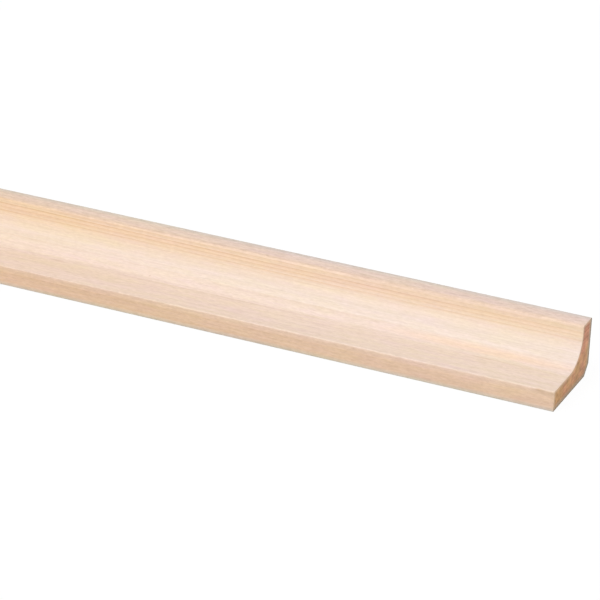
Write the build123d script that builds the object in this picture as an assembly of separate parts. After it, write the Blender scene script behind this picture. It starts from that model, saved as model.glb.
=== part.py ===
from build123d import *
import os

# Cornice moulding: one stock length of planed pine with a coved face, sawn square at both ends.
# It lies upside down, on the face that goes up against the ceiling, as it does on a rack or a bench.
# X runs along the length, the coved face looks towards -Y, the wall face towards +Y, and Z is up.
# The origin is the middle of the box's bottom.

# Driving dimensions, in millimetres
LENGTH = 2400.0          # one stock length
SECTION_DEPTH = 44.0     # from the front lip to the wall face
SECTION_HEIGHT = 27.0    # from the ceiling face to the free edge of the wall leg
CEILING_LEG = 9.6        # thickness of the long leg, which runs along the ceiling
WALL_LEG = 10.6          # thickness of the short leg, which runs down the wall
COVE_RADIUS = 13.5       # the hollow that joins the two legs
BACK_BEVEL = 4.8         # 45 degree bevel that clears the corner of wall and ceiling
ARRIS_RADIUS = 0.5       # long outer edges, eased by the planer
COVE_EDGE_RADIUS = 1.0   # the edge between the cove and the free edge, which shows most and is rounded more

# Lines of the section, seen from the end: Y to the right and Z up
FRONT = -SECTION_DEPTH / 2
BACK = SECTION_DEPTH / 2
COVE_WALL = BACK - WALL_LEG


def planed_blank():
    """The rectangular blank that the moulding is run from, with its hidden corner bevelled."""
    return make_face(
        Polyline(
            (FRONT, 0),
            (BACK - BACK_BEVEL, 0),
            (BACK, BACK_BEVEL),
            (BACK, SECTION_HEIGHT),
            (FRONT, SECTION_HEIGHT),
            close=True,
        )
    )


def cove_cutter():
    """What the moulding knife takes away: the space in front of both legs, round in its inner corner."""
    past_the_blank = COVE_RADIUS
    knife = make_face(
        Polyline(
            (COVE_WALL, CEILING_LEG),
            (COVE_WALL, SECTION_HEIGHT + past_the_blank),
            (FRONT - past_the_blank, SECTION_HEIGHT + past_the_blank),
            (FRONT - past_the_blank, CEILING_LEG),
            close=True,
        )
    )
    inner_corner = knife.vertices().sort_by_distance((COVE_WALL, CEILING_LEG))[0]
    return fillet(inner_corner, COVE_RADIUS)


def moulding_section():
    """The blank less the cove, with the edges of the lip and of the wall leg eased."""
    section = planed_blank() - cove_cutter()
    lip_corners = section.vertices().group_by(Axis.X)[0]
    wall_edge = section.vertices().group_by(Axis.Y)[-1].sort_by(Axis.X)[-1]
    eased = fillet(lip_corners + [wall_edge], ARRIS_RADIUS)
    cove_edge = eased.vertices().group_by(Axis.Y)[-1].sort_by(Axis.X)[0]
    return fillet(cove_edge, COVE_EDGE_RADIUS)


def cornice_moulding():
    """The section run out to the stock length, half to each side of the origin."""
    return extrude(Plane.YZ * moulding_section(), amount=LENGTH / 2, both=True)


os.makedirs("parts", exist_ok=True)
export_step(cornice_moulding(), "parts/cornice_moulding.step")
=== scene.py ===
import math
import bmesh
import bpy
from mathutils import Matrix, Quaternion, Vector


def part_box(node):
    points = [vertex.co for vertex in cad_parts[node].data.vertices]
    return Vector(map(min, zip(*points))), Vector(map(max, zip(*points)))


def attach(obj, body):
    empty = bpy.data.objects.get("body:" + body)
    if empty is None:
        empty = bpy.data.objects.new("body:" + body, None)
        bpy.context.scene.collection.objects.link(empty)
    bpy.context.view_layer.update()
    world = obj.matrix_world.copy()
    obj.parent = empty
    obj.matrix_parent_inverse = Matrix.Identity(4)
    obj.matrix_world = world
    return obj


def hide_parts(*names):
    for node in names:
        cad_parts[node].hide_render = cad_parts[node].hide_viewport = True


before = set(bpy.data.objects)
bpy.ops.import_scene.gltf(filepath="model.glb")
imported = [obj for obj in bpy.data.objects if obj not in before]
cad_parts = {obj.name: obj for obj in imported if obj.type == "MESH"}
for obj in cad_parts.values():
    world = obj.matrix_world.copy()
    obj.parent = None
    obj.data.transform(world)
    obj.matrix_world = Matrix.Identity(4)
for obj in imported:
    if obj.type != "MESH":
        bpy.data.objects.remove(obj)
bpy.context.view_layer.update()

# The moulding: one stock length of pine, planed to a coved section and cross-cut square at both ends.
# It is one piece, with nothing fixed to it. It lies on the face that goes up against the ceiling,
# with its cove towards -Y.

MM = 0.001
LEFT, FRONT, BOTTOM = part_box("cornice_moulding")[0]
RIGHT, BACK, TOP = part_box("cornice_moulding")[1]
LENGTH = RIGHT - LEFT
CEILING_LEG = 9.6 * MM       # the long leg, which it lies on
WALL_LEG = 10.6 * MM         # the short leg, standing up at the back
COVE_RADIUS = 13.5 * MM
BACK_BEVEL = 4.8 * MM
ARRIS_RADIUS = 0.5 * MM
COVE_EDGE_RADIUS = 1.0 * MM
COVE_STEPS, ARRIS_STEPS = 28, 6
HOLD = 0.4 * MM              # a narrow face beside each round, so that the flats shade flat
STRETCH = 40 * MM            # one row of faces along the length
SAW_RIM, SAW_RIM_DEPTH = 0.3 * MM, 0.15 * MM      # fibres broken off round the sawn ends
NICK_FROM_END, NICK_LENGTH, NICK_DEPTH = 7.6 * MM, 2.6 * MM, 0.35 * MM
NICK_CUTS = (-1.0, -0.5, -0.2, 0.2, 0.5, 1.0)     # rows of points for it, in its lengths from its middle
NICK_FLOOR, NICK_REACH = 0.3, 0.9                 # what is pushed in: parts of its length and of the arris
INWARDS = Vector((0, 0.7, -0.7))
SHARP = math.radians(30)     # edges that turn by more than this show as edges
SAWN = 1                     # the ends' material place on the mesh, after the planed faces' place


def moulding_section(bm):
    """The section as one face at the left end, its cove and its eased arrises rounded off."""
    outline = [                                    # each corner's place across and up, and its round
        (FRONT, BOTTOM, ARRIS_RADIUS, ARRIS_STEPS),
        (BACK - BACK_BEVEL, BOTTOM, 0, 0),
        (BACK, BOTTOM + BACK_BEVEL, 0, 0),
        (BACK, TOP, ARRIS_RADIUS, ARRIS_STEPS),
        (BACK - WALL_LEG, TOP, COVE_EDGE_RADIUS, ARRIS_STEPS),
        (BACK - WALL_LEG, BOTTOM + CEILING_LEG, COVE_RADIUS, COVE_STEPS),
        (FRONT, BOTTOM + CEILING_LEG, ARRIS_RADIUS, ARRIS_STEPS),
    ]
    places = [Vector((LEFT + SAW_RIM_DEPTH, y, z)) for y, z, radius, steps in outline]
    verts, rounds = [], []
    for i, (y, z, radius, steps) in enumerate(outline):
        corner = bm.verts.new(places[i])
        if radius:
            before = (places[i - 1] - places[i]).normalized() * (radius + HOLD)
            after = (places[(i + 1) % len(places)] - places[i]).normalized() * (radius + HOLD)
            verts += [bm.verts.new(places[i] + before), corner, bm.verts.new(places[i] + after)]
            rounds.append((corner, radius, steps))
        else:
            verts.append(corner)
    bm.faces.new(verts)
    for corner, radius, steps in rounds:
        bmesh.ops.bevel(bm, geom=[corner], offset=radius, offset_type="OFFSET", affect="VERTICES",
                        segments=steps, profile=0.5, material=-1)
    bm.faces.ensure_lookup_table()
    return bm.faces[0]


def run_out(bm, section):
    """Extrudes the section to the stock length in even stretches, and notes each point's place round it."""
    girth = bm.verts.layers.float.new("girth")
    around = 0.0
    for loop in section.loops:
        loop.vert[girth] = around
        around += loop.edge.calc_length()
    run = LENGTH - 2 * SAW_RIM_DEPTH
    far = bmesh.ops.extrude_face_region(bm, geom=[section], use_keep_orig=True)["geom"]
    bmesh.ops.translate(bm, verts=[v for v in far if isinstance(v, bmesh.types.BMVert)], vec=(run, 0, 0))
    along = [e for e in bm.edges if abs(e.verts[0].co.x - e.verts[1].co.x) > run / 2]
    bmesh.ops.subdivide_edges(bm, edges=along, cuts=round(run / STRETCH) - 1, use_grid_fill=True)
    bmesh.ops.recalc_face_normals(bm, faces=bm.faces)
    return girth, around


def saw_ends(bm):
    """The two cut faces, with their rims broken back a little."""
    ends = [f for f in bm.faces if abs(f.normal.x) > 0.9]
    rims = bmesh.ops.inset_region(bm, faces=ends, thickness=SAW_RIM, depth=SAW_RIM_DEPTH,
                                  use_even_offset=True)
    for face in ends + rims["faces"]:
        face.material_index = SAWN


def dent_the_lip(bm):
    """A small knock in the lip's upper arris, close to the right end."""
    middle = RIGHT - NICK_FROM_END
    for cut in NICK_CUTS:
        bmesh.ops.bisect_plane(bm, geom=bm.verts[:] + bm.edges[:] + bm.faces[:],
                               plane_co=(middle + cut * NICK_LENGTH, 0, 0), plane_no=(1, 0, 0))
    corner = Vector((FRONT, BOTTOM + CEILING_LEG))
    for vert in bm.verts:
        off = Vector(vert.co.yz) - corner
        if abs(vert.co.x - middle) < NICK_FLOOR * NICK_LENGTH and off.length < NICK_REACH * ARRIS_RADIUS:
            vert.co += INWARDS * NICK_DEPTH


SIDES_SHARE = 0.72                       # the long faces fill this part of the map's height
ENDS_UP, ENDS_HEIGHT = 0.75, 0.24        # the ends lie above them
LEFT_END_AT, RIGHT_END_AT = 0.01, 0.51


def unroll(bm, girth, around):
    """Lays the long faces out flat, side by side, and the two ends beside them, for baked colours."""
    uv = bm.loops.layers.uv.new("OFBake")
    end_scale = ENDS_HEIGHT / (TOP - BOTTOM)
    for face in bm.faces:
        girths = [loop.vert[girth] for loop in face.loops]
        wraps = max(girths) - min(girths) > around / 2
        for loop, place in zip(face.loops, girths):
            x, y, z = loop.vert.co
            if face.material_index == SAWN:
                end_at = LEFT_END_AT if x < 0 else RIGHT_END_AT
                loop[uv].uv = (end_at + (y - FRONT) * end_scale, ENDS_UP + (z - BOTTOM) * end_scale)
            else:
                past_seam = around if wraps and place < around / 2 else 0
                loop[uv].uv = ((x - LEFT) / LENGTH, (place + past_seam) / around * SIDES_SHARE)


bm = bmesh.new()
girth, around = run_out(bm, moulding_section(bm))
saw_ends(bm)
dent_the_lip(bm)
for face in bm.faces:
    face.smooth = True
for edge in bm.edges:
    edge.smooth = edge.calc_face_angle(0) < SHARP
unroll(bm, girth, around)
mesh = bpy.data.meshes.new("coved_moulding")
bm.to_mesh(mesh)
bm.free()
moulding = bpy.data.objects.new("coved_moulding", mesh)
bpy.context.scene.collection.objects.link(moulding)


def node(tree, kind, inputs=None, **settings):
    """Adds a node. Each input is given a plain value, or the output of another node to link."""
    made = tree.nodes.new("ShaderNode" + kind)
    for name, value in settings.items():
        setattr(made, name, value)
    for socket, value in (inputs or {}).items():
        if isinstance(value, bpy.types.NodeSocket):
            tree.links.new(value, made.inputs[socket])
        else:
            made.inputs[socket].default_value = value
    return made


def maths(tree, operation, *values, clamp=False):
    """One sum on plain values or the outputs of other nodes."""
    return node(tree, "Math", dict(enumerate(values)), operation=operation, use_clamp=clamp).outputs[0]


def span(tree, value, start, end, low=0.0, high=1.0):
    """Eases from low to high while the value goes from start to end."""
    inputs = {"Value": value, "From Min": start, "From Max": end, "To Min": low, "To Max": high}
    return node(tree, "MapRange", inputs, interpolation_type="SMOOTHSTEP").outputs["Result"]


def grain(tree, place, size, detail=2.0, seed=0.0):
    """Noise about 0.5, whose lumps have the given size along the length, across and up, in millimetres."""
    scaled = node(tree, "VectorMath", {0: place, 1: [1 / s for s in size]}, operation="MULTIPLY").outputs[0]
    inputs = {"Vector": scaled, "W": seed, "Scale": 1.0, "Detail": detail, "Roughness": 0.6}
    return node(tree, "TexNoise", inputs, noise_dimensions="4D").outputs["Fac"]


NOISE_LOW, NOISE_HIGH = 0.3, 0.7         # noise seldom goes past these


def about_one(tree, noise, depth):
    """Turns noise about 0.5 into a shade about 1, which the depth makes stronger."""
    return maths(tree, "MULTIPLY_ADD", noise, depth, 1 - depth / 2)


def ramp(tree, value, stops):
    """A run of colours or grey levels, each at its own place from 0 to 1."""
    made = node(tree, "ValToRGB", {"Fac": value})
    elements = made.color_ramp.elements
    while len(elements) < len(stops):
        elements.new(1.0)
    for element, (place, colour) in zip(elements, sorted(stops)):
        element.position = place
        element.color = (*colour, 1) if isinstance(colour, tuple) else (colour, colour, colour, 1)
    return made.outputs["Color"]


RAMP_HEIGHT = 30.0           # colours and levels that go by height are given up to this, in millimetres


def by_height(tree, height, stops):
    """A run of colours or grey levels, each at its own height in millimetres above the ceiling face."""
    part = maths(tree, "DIVIDE", height, RAMP_HEIGHT)
    return ramp(tree, part, [(up / RAMP_HEIGHT, level) for up, level in stops])


def blend(tree, amount, first, second, kind="MIX"):
    """Lays a second colour over the first one, or multiplies it in."""
    inputs = {0: amount, 6: first, 7: (*second, 1) if isinstance(second, tuple) else second}
    return node(tree, "Mix", inputs, data_type="RGBA", blend_type=kind).outputs[2]


RIGHT_MM = RIGHT / MM
PITH_ACROSS, RING_CURVE = 6.0, 710.0                    # rings bend down on both sides of this line
BOW, BOW_START, BOW_LENGTH = 2.2, RIGHT_MM - 40, 450.0  # they sink along the length
SWAY, SWAY_SIZE = 0.8, (400, 400, 400)                  # and then sway
LEAN_ACROSS = (-10.0, 7.0)                              # the bow grows from the lip to the wall leg
LONG_WAVER, LONG_WAVE = 0.6, (110, 24, 14)
SHORT_WAVER, SHORT_WAVE = 0.3, (22, 10, 6)
RING_SPACING, RING_START = 1.8, 0.684
LATE_RISE, LATE_STOP = 2.5, 0.94                        # a year darkens slowly, and ends sharply
FAINT, STRONG = 0.55, 1.15                              # its line differs in strength along its way
UNEVEN_SIZE, UNEVEN_NOISE = (70, 12, 2), (0.3, 0.65)
RING_STRENGTHS = [(0, 0.35), (8.2, 0.35), (9.2, 0.08), (10.4, 0.05), (11, 0.2), (12, 0.24), (13, 0.07),
                  (17.6, 0.08), (18.5, 0.25), (20.3, 0.85), (22, 0.66), (23.9, 0.84), (25.7, 0.5),
                  (27, 0.15)]                           # by height


def growth_rings():
    """Where a point lies in the tree: how late in its ring's year, and how far the rings bow there."""
    group = bpy.data.node_groups.new("pine_growth_rings", "ShaderNodeTree")
    group.interface.new_socket("Position", in_out="INPUT", socket_type="NodeSocketVector")
    for name in ("Latewood", "Bow"):
        group.interface.new_socket(name, in_out="OUTPUT", socket_type="NodeSocketFloat")
    place = group.nodes.new("NodeGroupInput").outputs["Position"]
    axes = node(group, "SeparateXYZ", {0: place}).outputs

    bow_end = BOW_START - BOW_LENGTH
    sunk = span(group, axes["X"], bow_end, BOW_START, 1.0, 0.0)
    sway = grain(group, place, SWAY_SIZE, detail=1.0, seed=13.0)
    sway = span(group, sway, NOISE_LOW, NOISE_HIGH, 0.0, SWAY)
    sway = maths(group, "MULTIPLY", sway, span(group, axes["X"], bow_end - BOW_LENGTH, bow_end, 1.0, 0.0))
    bow = maths(group, "SUBTRACT", sunk, sway)
    sinking = maths(group, "MULTIPLY", bow, span(group, axes["Y"], *LEAN_ACROSS))
    sinking = maths(group, "MULTIPLY", sinking, BOW)
    across = maths(group, "SUBTRACT", axes["Y"], PITH_ACROSS)
    curve = maths(group, "DIVIDE", maths(group, "MULTIPLY", across, across), RING_CURVE)
    level = -(LONG_WAVER + SHORT_WAVER) / 2
    long_wave = grain(group, place, LONG_WAVE, detail=1.0)
    short_wave = grain(group, place, SHORT_WAVE, detail=1.0, seed=11.0)
    waver = maths(group, "MULTIPLY_ADD", long_wave, LONG_WAVER, level)
    waver = maths(group, "MULTIPLY_ADD", short_wave, SHORT_WAVER, waver)
    lift = maths(group, "SUBTRACT", waver, sinking)
    height = maths(group, "ADD", maths(group, "ADD", axes["Z"], curve), lift)

    year = maths(group, "FRACT", maths(group, "MULTIPLY_ADD", height, 1 / RING_SPACING, RING_START))
    late = maths(group, "POWER", year, LATE_RISE)
    late = maths(group, "MULTIPLY", late, span(group, year, LATE_STOP, 1.0, 1.0, 0.0))
    uneven = span(group, grain(group, place, UNEVEN_SIZE, seed=8.0), *UNEVEN_NOISE, FAINT, STRONG)
    strength = maths(group, "MULTIPLY", by_height(group, height, RING_STRENGTHS), uneven)

    out = group.nodes.new("NodeGroupOutput")
    group.links.new(maths(group, "MULTIPLY", late, strength), out.inputs["Latewood"])
    group.links.new(bow, out.inputs["Bow"])
    return group


rings = growth_rings()


def pine_material(name):
    """A new material, a point's place in it in millimetres, and the growth rings there."""
    material = bpy.data.materials.new(name)
    material.use_nodes = True
    tree = material.node_tree
    place = node(tree, "TexCoord").outputs["Object"]
    place = node(tree, "VectorMath", {0: place, 3: 1 / MM}, operation="SCALE").outputs[0]
    wood = node(tree, "Group", node_tree=rings)
    tree.links.new(place, wood.inputs["Position"])
    return material, place, wood.outputs


# Earlywood colour by height. The lip's colours are darker partly as painted shade, for the light it misses
# from below, and the cove's are paler partly as a painted sheen where it faces the lamp; the rest is the
# wood's own colour.
WOOD = [(0, (0.79, 0.58, 0.44)), (6.5, (0.82, 0.595, 0.448)), (9.0, (0.84, 0.632, 0.512)),     # the lip
        (9.6, (0.87, 0.71, 0.63)), (11.5, (0.86, 0.74, 0.673)), (14.5, (0.84, 0.723, 0.657)),  # the cove
        (19, (0.88, 0.73, 0.62)), (23, (0.925, 0.73, 0.583)), (25.5, (0.925, 0.747, 0.614)),   # above it
        (27, (0.86, 0.65, 0.53))]                                                              # the top
# The cove's foot is paler: pale sapwood, and partly a painted sheen.
SAPWOOD_AND_SHEEN, FOOT_FROM, FOOT_TO, FOOT_UP = (0.90, 0.755, 0.69), (-8, -1), (2, 6), (10.5, 12)  # the cove's foot
TOP_UP = (26.0, 26.9)
PINK, PINK_ACROSS = (0.835, 0.662, 0.592), (11.5, 16.0)                        # the middle of the top face
# Painted shade: greyer and darker towards the top face's far edge.
FAR_EDGE_SHADE, FAR_EDGE_SHADE_ACROSS, FAR_EDGE_SHADE_SHARE = (0.67, 0.622, 0.597), (17.0, 22.0), 0.9  # the top's far edge
# Painted shade: a grey line along the lip's lower edge, next to the floor.
LIP_FOOT_SHADE, LIP_FOOT_SHADE_ACROSS, LIP_FOOT_SHADE_UP = (0.665, 0.61, 0.535), (-21.5, -20.0), (0.2, 2.4)  # the lip's lower edge
WARMER, FOOT_WARMTH = (1.0, 0.94, 0.81), 0.5   # the tint where the rings bow, and the foot's share of it


def face_colours(tree, axes, bow):
    """Earlywood by height, partly painted shade on the lip and painted sheen in the cove, with the paler
    foot of the cove, the pink top, and painted shade on the top's far edge and the lip's lower edge.
    """
    body = by_height(tree, axes["Z"], WOOD)
    foot = span(tree, axes["Y"], *FOOT_FROM)
    foot = maths(tree, "MULTIPLY", foot, span(tree, axes["Y"], *FOOT_TO, 1.0, 0.0))
    foot = maths(tree, "MULTIPLY", foot, span(tree, axes["Z"], *FOOT_UP, 1.0, 0.0))
    body = blend(tree, foot, body, SAPWOOD_AND_SHEEN)
    top = span(tree, axes["Z"], *TOP_UP)
    body = blend(tree, maths(tree, "MULTIPLY", span(tree, axes["Y"], *PINK_ACROSS), top), body, PINK)
    far_edge = maths(tree, "MULTIPLY", span(tree, axes["Y"], *FAR_EDGE_SHADE_ACROSS, 0.0, FAR_EDGE_SHADE_SHARE), top)
    body = blend(tree, far_edge, body, FAR_EDGE_SHADE)
    near_edge = span(tree, axes["Y"], *LIP_FOOT_SHADE_ACROSS, 1.0, 0.0)
    near_edge = maths(tree, "MULTIPLY", near_edge, span(tree, axes["Z"], *LIP_FOOT_SHADE_UP, 1.0, 0.0))
    body = blend(tree, near_edge, body, LIP_FOOT_SHADE)
    warmth = maths(tree, "MULTIPLY", bow, maths(tree, "MULTIPLY_ADD", foot, FOOT_WARMTH - 1, 1.0))
    return blend(tree, warmth, body, WARMER, "MULTIPLY")


PITCH, HONEY = (0.66, 0.47, 0.33), (0.93, 0.67, 0.50)
LINE_ACROSS, LINE_DRIFT, LINE_WIDTH, LINE_SHARE = -2.0, 0.0095, 0.9, 0.25     # a long broken line of pitch
LINE_END, LINE_FADE, LINE_GAPS, GAP_NOISE = RIGHT_MM - 60, 40, (60, 40, 40), (0.35, 0.6)
# Each mark's place from the right end, half sizes, strength and colour
MARKS = [((-38.8, -5.4, 9.6), (7, 0.7, 1), 0.3, PITCH), ((-32, -5.4, 9.6), (40, 0.9, 1), 0.2, PITCH),
         ((-250.6, -4.6, 9.6), (7, 1, 1), 0.4, PITCH), ((-206, 0.5, 9.85), (0.8, 1.2, 1), 0.3, PITCH),
         # These two darken the lip's upper edge round the knock near the right end.
         ((-6.8, -22, 8.9), (2.6, 1.2, 0.9), 0.9, PITCH), ((-2, -22, 8.4), (9, 1.5, 1.6), 0.5, PITCH),
         ((-40, 1.2, 10.0), (65, 4.5, 2.2), 0.45, HONEY)]
MARK_CORE = 0.2              # a mark has its full strength within this part of its half sizes


def pitch_marks(tree, place, axes, body):
    """The line of pitch along the foot of the cove, the small marks and stains beside it, and a darker
    patch on the lip's upper edge by the knock.
    """
    line = maths(tree, "MULTIPLY_ADD", axes["X"], LINE_DRIFT, LINE_ACROSS - LINE_DRIFT * RIGHT_MM)
    off = maths(tree, "ABSOLUTE", maths(tree, "SUBTRACT", axes["Y"], line))
    broken = span(tree, grain(tree, place, LINE_GAPS, detail=1.0, seed=3.0), *GAP_NOISE)
    fade = span(tree, axes["X"], LINE_END - LINE_FADE, LINE_END, 1.0, 0.0)
    streak = span(tree, off, 0.0, LINE_WIDTH, LINE_SHARE, 0.0)
    streak = maths(tree, "MULTIPLY", streak, maths(tree, "MULTIPLY", broken, fade))
    body = blend(tree, streak, body, PITCH)
    for (from_end, across, up), half, strength, colour in MARKS:
        middle = (RIGHT_MM + from_end, across, up)
        offset = node(tree, "VectorMath", {0: place, 1: middle}, operation="SUBTRACT").outputs[0]
        scaled = node(tree, "VectorMath", {0: offset, 1: half}, operation="DIVIDE").outputs[0]
        reach = node(tree, "VectorMath", {0: scaled}, operation="LENGTH").outputs["Value"]
        body = blend(tree, span(tree, reach, MARK_CORE, 1.0, strength, 0.0), body, colour)
    return body


FIBRE_SIZE, FIBRE_SHADE = (70, 0.5, 0.5), 0.2
BUNDLE_SIZE, BUNDLE_SHADE = (150, 2.4, 2.4), 0.13
STREAKS = [(0, 0.2), (9.6, 0.2), (11, 0.07), (14, 0.12), (17, 0.12), (18, 0), (25, 0), (26.9, 0.3)]
MOTTLE = [(0, 0.1), (9.4, 0.1), (9.6, 0.2), (12, 0.2), (17, 0.06), (26.4, 0.15), (26.9, 0.4)]
FLECKS = [(0, 0.49), (9.2, 0.49), (9.6, 0.4), (11, 0.33), (14, 0.26), (26.4, 0.3), (26.9, 0.6)]
FIGURE = [((80, 1.5, 1.5), 2.0, 15.0, STREAKS), ((6, 1.6, 1.6), 3.0, 7.0, MOTTLE),
          ((2.4, 0.7, 0.7), 2.0, 14.0, FLECKS)]             # size, detail, seed and strength by height


def fibre_shade(tree, place, axes, fibres):
    """How light or dark the wood is from fibre to fibre and from patch to patch, where 1 is its mean."""
    bundles = grain(tree, place, BUNDLE_SIZE, seed=2.0)
    shade = about_one(tree, fibres, FIBRE_SHADE)
    shade = maths(tree, "MULTIPLY", shade, about_one(tree, bundles, BUNDLE_SHADE))
    for size, detail, seed, strengths in FIGURE:
        figure = maths(tree, "SUBTRACT", grain(tree, place, size, detail, seed), 0.5)
        shade = maths(tree, "MULTIPLY_ADD", figure, by_height(tree, axes["Z"], strengths), shade)
    return shade


LATEWOOD = (0.70, 0.44, 0.21)
LATE_SHARES, FADE_ALONG = (0.92, 0.54), (RIGHT_MM - 260, RIGHT_MM - 15)   # fainter towards the right end
RED_POWER, BLUE_POWER = 0.85, 1.2                           # where it is darker, it is also redder
STRAW, BLUSH = (1.0, 1.0, 0.93), (1.0, 0.977, 1.0)
TINT_PATCHES = [((60, 9, 7), 4.0), ((14, 3, 3), 12.0)]      # size and seed
PLANED_ROUGHNESS, LATE_POLISH = 0.6, -0.12
LATE_RELIEF, FIBRE_RELIEF, FIBRE_BUMP = 0.8, 0.03 * MM, 0.5


def planed_pine():
    """Planed pine with no finish: pale earlywood, darker lines of latewood, long fibres and a few marks."""
    material, place, wood = pine_material("planed_pine")
    tree = material.node_tree
    shader = tree.nodes["Principled BSDF"]
    axes = node(tree, "SeparateXYZ", {0: place}).outputs

    body = face_colours(tree, axes, wood["Bow"])
    body = pitch_marks(tree, place, axes, body)
    fading = span(tree, axes["X"], *FADE_ALONG, *LATE_SHARES)
    body = blend(tree, maths(tree, "MULTIPLY", wood["Latewood"], fading), body, LATEWOOD)

    fibres = grain(tree, place, FIBRE_SIZE, seed=1.0)
    shade = fibre_shade(tree, place, axes, fibres)
    red, blue = maths(tree, "POWER", shade, RED_POWER), maths(tree, "POWER", shade, BLUE_POWER)
    tone = node(tree, "CombineColor", {0: red, 1: shade, 2: blue}).outputs[0]
    body = blend(tree, 1.0, body, tone, "MULTIPLY")
    for size, seed in TINT_PATCHES:
        patches = grain(tree, place, size, seed=seed)
        tint = ramp(tree, patches, [(NOISE_LOW, STRAW), (NOISE_HIGH, BLUSH)])
        body = blend(tree, 1.0, body, tint, "MULTIPLY")
    tree.links.new(body, shader.inputs["Base Color"])

    rough = maths(tree, "MULTIPLY_ADD", wood["Latewood"], LATE_POLISH, PLANED_ROUGHNESS)
    tree.links.new(rough, shader.inputs["Roughness"])
    relief = maths(tree, "MULTIPLY_ADD", wood["Latewood"], LATE_RELIEF, fibres)
    bump = node(tree, "Bump", {"Height": relief, "Strength": FIBRE_BUMP, "Distance": FIBRE_RELIEF})
    tree.links.new(bump.outputs["Normal"], shader.inputs["Normal"])
    return material


TAN, RUSSET = (0.79, 0.46, 0.22), (0.83, 0.39, 0.25)       # the end grain turns from one to the other
TAN_AT, RUSSET_AT, TURN_SIZE = 0.4, 0.75, (14, 8, 7)
RUSSET_UP, RUSSET_MORE = (11.0, 22.0), 0.35                # redder up the wall leg
TAN_ACROSS, TAN_MORE = (-16.0, -4.0), 0.2                  # yellower towards the lip
WALL_UP, WALL_SHADE = (17.0, 24.0), 0.9                    # and darker at the top
END_LATEWOOD = (0.48, 0.22, 0.11)
BLOTCH_SIZE, BLOTCH_SHADE = (8, 4.5, 3.5), 1.6
PORE_SIZE, PORE_SHADE = (3, 0.35, 0.35), 0.7
SAW_SLANT, SAW_PACE, SAW_WANDER, SAW_SHADE, SAW_DEPTH = 0.55, 4.2, 9.0, 0.03, 0.3
RIM_INSET, BEVEL_SLOPE = 0.6, 0.707                        # the rim is wider behind than below
TORN_SIZE, RAGGED = (2, 0.7, 0.7), 3.5
# The torn fibres are pale. The grey band and the dark line round the end's back, bevel and underside are
# painted shade.
TORN_FIBRE, GREY_SHADE_BAND, DARK_SHADE_LINE = (0.93, 0.70, 0.49), (0.47, 0.405, 0.3), (0.2, 0.135, 0.08)
SAWN_ROUGHNESS, SAWN_RELIEF, SAWN_BUMP = 0.85, 0.12 * MM, 0.6


def past_the_faces(tree, axes):
    """How far outside the end's hidden edges and its coved edges a point lies, in millimetres."""
    below = maths(tree, "MULTIPLY", axes["Z"], -1.0)
    behind = maths(tree, "SUBTRACT", axes["Y"], BACK / MM - RIM_INSET)
    aslant = maths(tree, "SUBTRACT", axes["Y"], axes["Z"])
    aslant = maths(tree, "SUBTRACT", aslant, (BACK - BACK_BEVEL) / MM - RIM_INSET)
    outer = maths(tree, "MAXIMUM", below, behind)
    outer = maths(tree, "MAXIMUM", outer, maths(tree, "MULTIPLY", aslant, BEVEL_SLOPE))

    hollow_y = maths(tree, "SUBTRACT", axes["Y"], (BACK - WALL_LEG - COVE_RADIUS) / MM)
    hollow_z = maths(tree, "SUBTRACT", (BOTTOM + CEILING_LEG + COVE_RADIUS) / MM, axes["Z"])
    hollow_y, hollow_z = maths(tree, "MAXIMUM", hollow_y, 0.0), maths(tree, "MAXIMUM", hollow_z, 0.0)
    from_middle = node(tree, "CombineXYZ", {0: 0.0, 1: hollow_y, 2: hollow_z}).outputs[0]
    from_middle = node(tree, "VectorMath", {0: from_middle}, operation="LENGTH").outputs["Value"]
    inner = maths(tree, "SUBTRACT", COVE_RADIUS / MM, from_middle)
    inner = maths(tree, "MAXIMUM", inner, maths(tree, "SUBTRACT", axes["Z"], TOP / MM))
    inner = maths(tree, "MAXIMUM", inner, maths(tree, "SUBTRACT", FRONT / MM, axes["Y"]))
    return outer, inner


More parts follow.
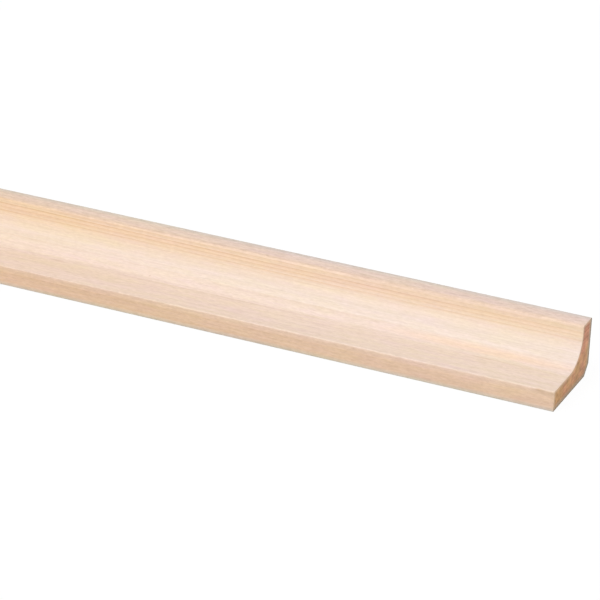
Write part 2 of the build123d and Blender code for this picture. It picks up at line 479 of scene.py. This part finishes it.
def sawn_end_grain():
    """The cross-cut ends: darker than the faces, with the rings end on, saw marks, torn rims and painted
    shade along the hidden edges.
    """
    material, place, wood = pine_material("sawn_end_grain")
    tree = material.node_tree
    shader = tree.nodes["Principled BSDF"]
    axes = node(tree, "SeparateXYZ", {0: place}).outputs

    turn = grain(tree, place, TURN_SIZE, detail=1.0, seed=9.0)
    turn = maths(tree, "ADD", turn, span(tree, axes["Z"], *RUSSET_UP, 0.0, RUSSET_MORE))
    turn = maths(tree, "SUBTRACT", turn, span(tree, axes["Y"], *TAN_ACROSS, TAN_MORE, 0.0))
    body = ramp(tree, turn, [(TAN_AT, TAN), (RUSSET_AT, RUSSET)])
    body = blend(tree, wood["Latewood"], body, END_LATEWOOD)

    blotch = grain(tree, place, BLOTCH_SIZE, detail=3.0, seed=5.0)
    pores = grain(tree, place, PORE_SIZE, seed=6.0)
    slant = maths(tree, "MULTIPLY_ADD", axes["Z"], SAW_SLANT, axes["Y"])
    wander = maths(tree, "MULTIPLY", blotch, SAW_WANDER)
    saw = maths(tree, "SINE", maths(tree, "MULTIPLY_ADD", slant, SAW_PACE, wander))
    shade = about_one(tree, blotch, BLOTCH_SHADE)
    shade = maths(tree, "MULTIPLY", shade, about_one(tree, pores, PORE_SHADE))
    shade = maths(tree, "MULTIPLY", shade, maths(tree, "MULTIPLY_ADD", saw, SAW_SHADE, 1.0))
    shade = maths(tree, "MULTIPLY", shade, span(tree, axes["Z"], *WALL_UP, 1.0, WALL_SHADE))
    tone = node(tree, "CombineColor", {0: shade, 1: shade, 2: shade}).outputs[0]
    body = blend(tree, 1.0, body, tone, "MULTIPLY")

    outer, inner = past_the_faces(tree, axes)
    torn = grain(tree, place, TORN_SIZE, detail=3.0, seed=10.0)
    torn = maths(tree, "MULTIPLY_ADD", torn, RAGGED, 0.5 - RAGGED / 2)
    torn_inner, torn_outer = maths(tree, "ADD", inner, torn), maths(tree, "ADD", outer, torn)
    rims = [                                       # where each one starts and is full, its share and colour
        (torn_inner, -1.3, 0.6, 0.8, TORN_FIBRE),
        (torn_outer, -2.2, -1.2, 0.5, TORN_FIBRE),
        # painted shade: a grey band, then a dark line at the hidden edges
        (torn_outer, -2.5, -0.7, 0.5, GREY_SHADE_BAND),
        (outer, -0.9, -0.3, 0.8, DARK_SHADE_LINE),
    ]
    for past, start, full, share, colour in rims:
        body = blend(tree, span(tree, past, start, full, 0.0, share), body, colour)
    tree.links.new(body, shader.inputs["Base Color"])
    shader.inputs["Roughness"].default_value = SAWN_ROUGHNESS

    relief = maths(tree, "MULTIPLY_ADD", saw, SAW_DEPTH, pores)
    bump = node(tree, "Bump", {"Height": relief, "Strength": SAWN_BUMP, "Distance": SAWN_RELIEF})
    tree.links.new(bump.outputs["Normal"], shader.inputs["Normal"])
    return material


mesh.materials.append(planed_pine())
mesh.materials.append(sawn_end_grain())

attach(moulding, "root")
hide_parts("cornice_moulding")

# The studio: a wide white floor, a large soft lamp up on the left in front, and even white light all round.
# The floor and the surround show white to the camera, and the floor still takes a faint shadow.

FLOOR_HALF, FLOOR_GAP = 40.0, 0.1 * MM
SKY = 0.6
KEY = 1.5
KEY_AZIMUTH, KEY_ELEVATION, KEY_SPREAD = math.radians(-35), math.radians(45), math.radians(50)
FLOOR_COLOUR = 0.7           # for the light that it throws back on the moulding
FLOOR_SHADED = 0.06          # the part of the white that the camera sees that takes shadow
WHITE = 1.01                 # a little over, so that the open floor shows pure white


def seen_directly(tree):
    """1 for the camera and for reflections and glass, 0 for the light that falls on the moulding."""
    rays = node(tree, "LightPath").outputs
    some = maths(tree, "ADD", rays["Is Camera Ray"], rays["Is Glossy Ray"])
    return maths(tree, "ADD", some, rays["Is Transmission Ray"], clamp=True)


def direction(azimuth, elevation):
    """The way out from the moulding, turned from the front towards the right, and up."""
    out = math.cos(elevation)
    return Vector((math.sin(azimuth) * out, -math.cos(azimuth) * out, math.sin(elevation)))


world = bpy.data.worlds.new("even_white_light")
world.use_nodes = True
bpy.context.scene.world = world
surround = world.node_tree.nodes["Background"]
surround.inputs["Color"].default_value = (1, 1, 1, 1)
level = span(world.node_tree, seen_directly(world.node_tree), 0.0, 1.0, SKY, 1.0)
world.node_tree.links.new(level, surround.inputs["Strength"])

lamp = bpy.data.lights.new("soft_key", "SUN")
lamp.energy = KEY
lamp.angle = KEY_SPREAD
key = bpy.data.objects.new("soft_key", lamp)
bpy.context.scene.collection.objects.link(key)
key.rotation_mode = "QUATERNION"
key.rotation_quaternion = direction(KEY_AZIMUTH, KEY_ELEVATION).to_track_quat("Z", "Y")

bm = bmesh.new()
bmesh.ops.create_grid(bm, x_segments=1, y_segments=1, size=FLOOR_HALF)
bmesh.ops.translate(bm, verts=bm.verts, vec=(0, 0, BOTTOM - FLOOR_GAP))
floor_mesh = bpy.data.meshes.new("studio_floor")
bm.to_mesh(floor_mesh)
bm.free()
floor = bpy.data.objects.new("studio_floor", floor_mesh)
bpy.context.scene.collection.objects.link(floor)
paper = bpy.data.materials.new("white_paper")
paper.use_nodes = True
tree = paper.node_tree
tree.nodes.clear()
direct = seen_directly(tree)
thrown = span(tree, direct, 0.0, 1.0, FLOOR_COLOUR, FLOOR_SHADED)
grey = node(tree, "CombineColor", {0: thrown, 1: thrown, 2: thrown}).outputs[0]
matt = node(tree, "BsdfDiffuse", {"Color": grey})
lit = SKY + KEY * math.sin(KEY_ELEVATION) / math.pi
glow = node(tree, "Emission", {"Strength": maths(tree, "MULTIPLY", direct, WHITE - FLOOR_SHADED * lit)})
both = node(tree, "AddShader", {0: matt.outputs[0], 1: glow.outputs[0]})
node(tree, "OutputMaterial", {"Surface": both.outputs[0]})
floor_mesh.materials.append(paper)

# The camera: a long lens, in front of the right end and a little beyond it, looking down on the cove.
# Its place and lens were worked out from the outline in the photograph, and it is rolled a little.

AIM = Vector((RIGHT - 130.40 * MM, 0.54 * MM, 14.67 * MM))
AZIMUTH, ELEVATION, ROLL = math.radians(23.516), math.radians(24.675), math.radians(2.364)
DISTANCE = 1.3716
LENS = 183.33

camera = bpy.data.objects.new("camera", bpy.data.cameras.new("camera"))
bpy.context.scene.collection.objects.link(camera)
camera.data.lens = LENS
away = direction(AZIMUTH, ELEVATION)
camera.location = AIM + away * DISTANCE
camera.rotation_mode = "QUATERNION"
camera.rotation_quaternion = away.to_track_quat("Z", "Y") @ Quaternion((0, 0, 1), ROLL)
bpy.context.scene.camera = camera

bpy.context.scene.view_settings.view_transform = "Standard"
